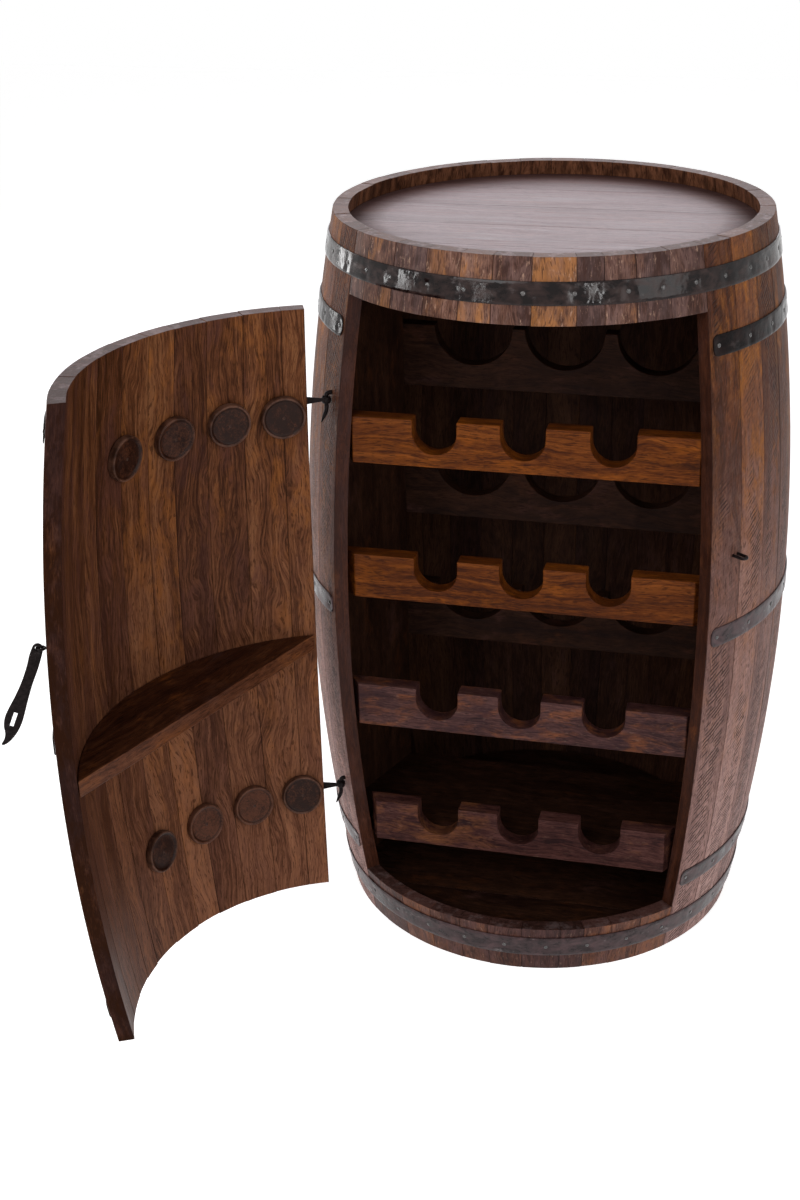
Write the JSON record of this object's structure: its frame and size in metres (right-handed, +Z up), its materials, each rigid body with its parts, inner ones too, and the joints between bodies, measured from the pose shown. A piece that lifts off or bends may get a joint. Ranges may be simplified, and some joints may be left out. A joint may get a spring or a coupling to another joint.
{
  "type": "barrel bar cabinet",
  "caption": "Upright wine barrel made into a bottle cabinet: hinged stave door with shelf and discs, notched bottle rack inside, iron hoops and a hasp.",
  "frame": {"origin": "on the floor under the centre of the barrel's foot; the base head's underside is 6 mm above it", "axes": "+Z up along the barrel's axis; the shut door's middle faces -Y; +X to the right seen from the door"},
  "size_m": [0.6969, 0.7892, 0.8],
  "materials": {
    "stave_wood": "weathered and oiled, saw-marked",
    "door_wood": "satin oiled",
    "rack_wood": "satin oiled",
    "head_wood": "satin varnish",
    "disc_wood": "satin oiled",
    "hoop_iron": "blackened, worn at the edges",
    "nail_iron": "blackened",
    "hinge_iron": "aged black",
    "hasp_iron": "aged black"
  },
  "bodies": {
    "barrel": {"base_head": "head_wood", "base_hoop": "hoop_iron", "catch_staple": "hasp_iron", "hinge_hook_lower": "hinge_iron", "hinge_hook_upper": "hinge_iron", "hoop_nails": "nail_iron", "lintel_staves": "stave_wood", "lower_hoop": "hoop_iron", "middle_hoop": "hoop_iron", "rack_bar_1": "rack_wood", "rack_bar_2": "rack_wood", "rack_bar_3": "rack_wood", "rack_bar_4": "rack_wood", "rack_shelf": "rack_wood", "rear_bar_1": "rack_wood", "rear_bar_2": "rack_wood", "rear_bar_3": "rack_wood", "side_panel_left": "rack_wood", "side_panel_right": "rack_wood", "sill_staves": "stave_wood", "staves_back_left": "stave_wood", "staves_back_right": "stave_wood", "staves_left": "stave_wood", "staves_right": "stave_wood", "top_head": "head_wood", "top_hoop": "hoop_iron", "upper_hoop": "hoop_iron"},
    "door": {"disc_screws": "hinge_iron", "door_disc_01": "disc_wood", "door_disc_02": "disc_wood", "door_disc_03": "disc_wood", "door_disc_04": "disc_wood", "door_disc_05": "disc_wood", "door_disc_06": "disc_wood", "door_disc_07": "disc_wood", "door_disc_08": "disc_wood", "door_lower_hoop": "hoop_iron", "door_middle_hoop": "hoop_iron", "door_nails": "nail_iron", "door_shelf": "door_wood", "door_stave_01": "door_wood", "door_stave_02": "door_wood", "door_stave_03": "door_wood", "door_stave_04": "door_wood", "door_stave_05": "door_wood", "door_stave_06": "door_wood", "door_stave_07": "door_wood", "door_stave_08": "door_wood", "door_stave_09": "door_wood", "door_stave_10": "door_wood", "door_stave_11": "door_wood", "door_upper_hoop": "hoop_iron", "hasp_eye": "hasp_iron", "hinge_strap_lower": "hinge_iron", "hinge_strap_upper": "hinge_iron", "strap_screws": "hinge_iron"},
    "hasp_sleeve": {"hasp_sleeve": "hasp_iron"},
    "hasp": {"hasp": "hasp_iron"}
  },
  "joints": [
    {"name": "door_swing", "type": "hinge", "parent": "barrel", "child": "door", "pos_m": [-0.20265, -0.15947, 0.4], "axis": [0, 0, -1], "range_deg": [-110.85, 19]},
    {"name": "hasp_turn", "type": "hinge", "parent": "door", "child": "hasp_sleeve", "pos_m": [-0.38401, -0.48531, 0.487], "axis": [0, 0, 1], "range_deg": [-97, 97]},
    {"name": "hasp_swing", "type": "hinge", "parent": "hasp_sleeve", "child": "hasp", "pos_m": [-0.38717, -0.48628, 0.487], "axis": [-0.2949, 0.9555, 0], "range_deg": [-19, 130]}
  ]
}
